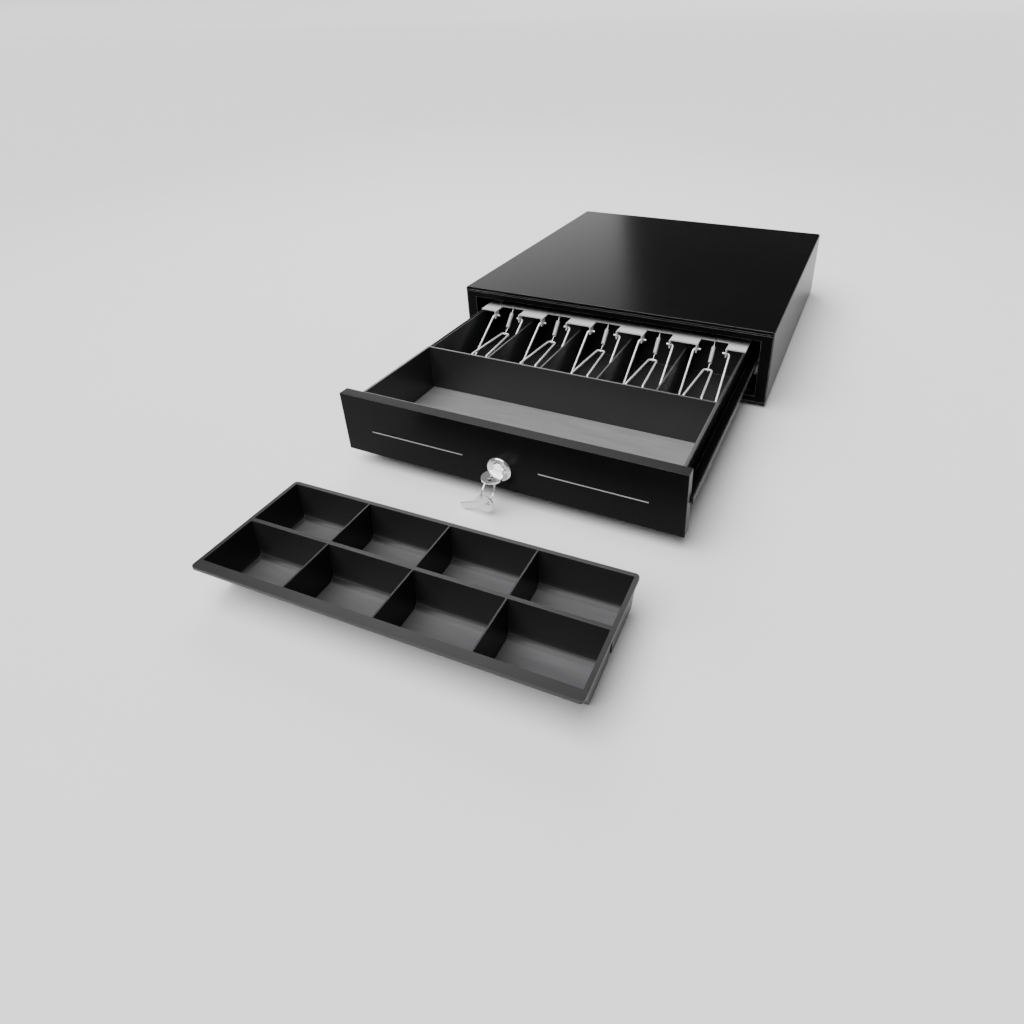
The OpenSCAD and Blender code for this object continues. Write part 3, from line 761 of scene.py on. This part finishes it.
@dataclass
class BillClips:
    """The stamped bar with its five sprung wire clips."""

    bench: Bench
    pitch: float = 68.3
    pivot_y: float = -217.3
    pivot_z: float = 69.0
    wire: float = 1.3
    half: float = 21.5
    stub_in: float = 13.0
    bow_half: float = 5.0
    pin_half: float = 10.0
    spine_y: float = -200.3
    bar_top: float = 75.9
    leg_end: tuple[float, float] = (67.0, -43.0)
    toe_end: tuple[float, float] = (81.0, -38.0)
    pin_end: tuple[float, float] = (79.5, -20.0)
    bow_at: tuple[float, float] = (10.0, -20.0)
    coil_wire: float = 0.5
    coil_turns: int = 17
    coil_r: float = 2.2
    coil_length: float = 20.0
    coil_lead: float = 1.2
    top_hook: tuple[tuple[float, float, float], ...] = ((0.0, 3.6, -1.8), (0.0, 3.8, 0.6), (0.0, 0.4, 0.9))
    bow_hook: tuple[tuple[float, float, float], ...] = ((0.0, -2.1, 0.4), (0.0, -1.2, -1.7), (0.0, 1.4, -1.2))

    def build(self) -> None:
        """Makes the bar, its screws, the clips and their springs."""
        self.bench.softened("clip_bar", Finishes.ZINC, 0.35)
        self.bench.softened("clip_bar_screws", Finishes.NICKEL, 0.5)
        for number in range(1, 6):
            middle = (number - 3) * self.pitch
            self.clip(number, middle)
            self.spring(number, middle)

    def at(self, x: float, reach: tuple[float, float]) -> Vector:
        """Returns a clip's point from its forward and upward distances, in metres."""
        return Vector((x, self.pivot_y - reach[0], self.pivot_z + reach[1])) * MM

    def clip(self, number: int, middle: float) -> None:
        """Bends one clip from wire.

        Args:
            number: the clip's number, from the left.
            middle: the clip's middle across the drawer.
        """
        half: list[Vector] = [
            self.at(middle - self.stub_in, (0.0, 0.0)),
            self.at(middle - self.half, (0.0, 0.0)),
            self.at(middle - self.half, self.leg_end),
            self.at(middle - self.half + 6.0, self.toe_end),
            self.at(middle - self.pin_half, self.pin_end),
            self.at(middle - self.bow_half, self.bow_at),
        ]
        other = [Vector((2 * middle * MM - p.x, p.y, p.z)) for p in reversed(half)]
        line = filleted(half + other, 4.0 * MM)
        mesh = swept(line, self.wire * MM, sides=16)
        body, node = f"clip_{number}", f"bill_clip_{number}"
        self.bench.adopt(mesh, f"clip_wire_{number}", Finishes.WIRE, body, node, smooth=60.0)

    def spring(self, number: int, middle: float) -> None:
        """Winds one tension spring, with a hook at each end.

        Args:
            number: the clip's number, from the left.
            middle: the clip's middle across the drawer.
        """
        top = Vector((middle, self.spine_y - 1.2, self.bar_top + 0.4)) * MM
        bow = self.at(middle, self.bow_at)
        axis = (bow - top).normalized()
        side = Vector((1.0, 0.0, 0.0))
        lift = axis.cross(side)
        length = self.coil_length * MM
        radius = self.coil_r * MM
        start = (top + bow) / 2 - axis * length / 2
        lead = axis * self.coil_lead * MM
        points = [top + Vector(bend) * MM for bend in self.top_hook]
        points.append(start - lead)
        steps = 14
        for i in range(self.coil_turns * steps + 1):
            angle = 2 * math.pi * i / steps
            along = start + axis * (length * i / (self.coil_turns * steps))
            points.append(along + (side * math.cos(angle) + lift * math.sin(angle)) * radius)
        end = start + axis * length
        points.append(end + lead)
        points += [bow + Vector(bend) * MM for bend in self.bow_hook]
        mesh = swept(points, self.coil_wire * MM, sides=8)
        name, node = f"spring_coil_{number}", f"clip_spring_{number}"
        self.bench.adopt(mesh, name, Finishes.WIRE, "drawer", node, smooth=70.0)


@dataclass
class LockAndKeys:
    """The lock in the drawer's front, its key, the ring and the spare key."""

    bench: Bench
    lock_z: float = 40.0
    face_y: float = -488.5
    ring_y: float = -512.0
    ring_z: float = 29.8
    ring_r: float = 12.4
    ring_wire: float = 0.55
    ring_lead: float = 0.62

    def build(self) -> None:
        """Makes the lock and what hangs from it."""
        for node in ("lock_plug", "lock_cam"):
            self.bench.softened(node, Finishes.NICKEL, 0.2)
        self.bezel()
        self.bench.softened("key", Finishes.NICKEL, 0.35, segments=3)
        self.bench.softened("spare_key", Finishes.WORN, 0.35, segments=3)
        self.ring()

    def bezel(self) -> None:
        """Turns the lock's body with its rounded face ring."""
        middle = Vector((0.0, self.face_y, self.lock_z)) * MM
        corners = [(6.05, 3.0), (7.2, 3.0), (7.6, 2.6), (9.2, 2.3), (11.2, 2.3)]
        corners += [(12.2, 2.0), (12.8, 1.3), (13.0, 0.4), (13.0, 0.0)]
        corners += [(9.5, 0.0), (9.5, -17.5), (6.05, -17.5), (6.05, 3.0)]
        shape = turned([(r * MM, h * MM) for r, h in corners], middle, Vector((0, -1, 0)))
        self.bench.piece(shape, "lock_barrel", Finishes.NICKEL, "drawer", "lock_body", smooth=25.0)

    def ring(self) -> None:
        """Winds the split ring, two turns side by side."""
        points: list[Vector] = []
        steps = 72
        for i in range(2 * steps + 1):
            angle = 2 * math.pi * i / steps
            x = (i / steps - 1.0) * self.ring_lead
            y = self.ring_y + self.ring_r * math.sin(angle)
            z = self.ring_z + self.ring_r * math.cos(angle)
            points.append(Vector((x, y, z)) * MM)
        mesh = swept(points, self.ring_wire * MM, sides=12)
        self.bench.adopt(mesh, "split_ring", Finishes.NICKEL, "ring", "key_ring", smooth=60.0)


@dataclass
class CoinTray:
    """The moulded coin tray that lifts out of the drawer."""

    bench: Bench

    def build(self) -> None:
        """Makes the tray."""
        self.bench.softened("coin_tray", Finishes.COIN, 0.6, sharp=50.0, segments=3, smooth=50.0)


# ---------------------------------------------------------------- studio


@dataclass
class Studio:
    """Floor, lamps and camera."""

    azimuth: float = 24.51
    elevation: float = 29.47
    roll: float = -1.02
    place: tuple[float, float, float] = (0.29126, -0.95196, 0.42819)
    lens: float = 24.21
    shift: tuple[float, float] = (-0.0602, -0.1152)

    def build(self) -> None:
        """Sets up the whole studio."""
        self.floor()
        self.sky()
        self.key_light()
        self.lamp("low_rear_softbox", (-1.62, 1.95, 0.95), (-0.15, 0.0, 0.1), (1.7, 1.1), 4.0)
        self.lamp("high_rear_softbox", (-1.05, 1.2, 1.75), (0.0, -0.5, 0.0), (2.0, 0.9), 5.0)
        self.camera()

    def floor(self) -> None:
        """Lays the pale paper floor, which curves up far behind the drawer."""
        corners = [(0.0, 0.0), (0.5, 0.0), (2.0, 0.0), (8.0, 0.0), (24.0, 0.0)]
        corners += [(27.0, 0.5), (28.5, 1.6), (29.0, 3.2)]
        shape = turned(corners, Vector((0.0, 0.0, 0.0)), Vector((0.0, 0.0, 1.0)), steps=96)
        mesh = bpy.data.meshes.new("floor")
        shape.to_mesh(mesh)
        shape.free()
        mesh.shade_smooth()
        white = (0.9, 0.9, 0.9)
        paper = Finish("white_paper", white, 0.8, grain=300.0, relief=0.02, mottle=0.01, specular=0.1)
        mesh.materials.append(paper.make())
        made = bpy.data.objects.new("floor", mesh)
        bpy.context.scene.collection.objects.link(made)

    def key_light(self) -> None:
        """Hangs the broad key light, which is as bright far off as near by."""
        light = bpy.data.lights.new("key_light", "SUN")
        light.energy = 5.4
        light.angle = math.radians(65.0)
        made = bpy.data.objects.new("key_light", light)
        made.rotation_euler = Vector((0.25, 0.35, -1.0)).to_track_quat("-Z", "Y").to_euler()
        bpy.context.scene.collection.objects.link(made)

    def sky(self) -> None:
        """Gives the room a faint even light."""
        world = bpy.data.worlds.new("studio")
        world.use_nodes = True
        background = world.node_tree.nodes["Background"]
        background.inputs["Color"].default_value = (1.0, 1.0, 1.0, 1.0)
        background.inputs["Strength"].default_value = 0.05
        bpy.context.scene.world = world

    def lamp(self, name: str, place: tuple, aim: tuple, size: tuple, power: float) -> None:
        """Hangs one softbox.

        Args:
            name: the lamp's name.
            place: where it hangs.
            aim: the point that it faces.
            size: its width and height.
            power: its power in watts.
        """
        light = bpy.data.lights.new(name, "AREA")
        light.shape = "RECTANGLE"
        light.size, light.size_y = size
        light.energy = power
        light.spread = math.radians(75.0)
        made = bpy.data.objects.new(name, light)
        made.location = place
        made.rotation_euler = (Vector(aim) - Vector(place)).to_track_quat("-Z", "Y").to_euler()
        made.visible_camera = False
        bpy.context.scene.collection.objects.link(made)

    def camera(self) -> None:
        """Stands the camera at the viewing angle."""
        az, el, roll = (math.radians(v) for v in (self.azimuth, self.elevation, self.roll))
        back = Vector((math.sin(az) * math.cos(el), -math.cos(az) * math.cos(el), math.sin(el)))
        right = Vector((math.cos(az), math.sin(az), 0.0))
        up = back.cross(right)
        level = right * math.cos(roll) + up * math.sin(roll)
        upright = up * math.cos(roll) - right * math.sin(roll)
        data = bpy.data.cameras.new("camera")
        data.lens = self.lens
        data.sensor_width = 36.0
        data.shift_x, data.shift_y = self.shift
        data.clip_end = 50.0
        made = bpy.data.objects.new("camera", data)
        turn = Matrix((level, upright, back)).transposed().to_4x4()
        made.matrix_world = Matrix.Translation(self.place) @ turn
        bpy.context.scene.collection.objects.link(made)
        bpy.context.scene.camera = made


def main() -> None:
    """Builds the drawer piece by piece."""
    logging.basicConfig(level=logging.INFO, format="%(name)s: %(message)s")
    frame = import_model()
    bench = Bench(frame)
    Studio().build()
    for assembly in (CaseShell, DrawerBox, TillInsert, BillClips, LockAndKeys, CoinTray):
        assembly(bench).build()


if __name__ == "__main__":
    main()
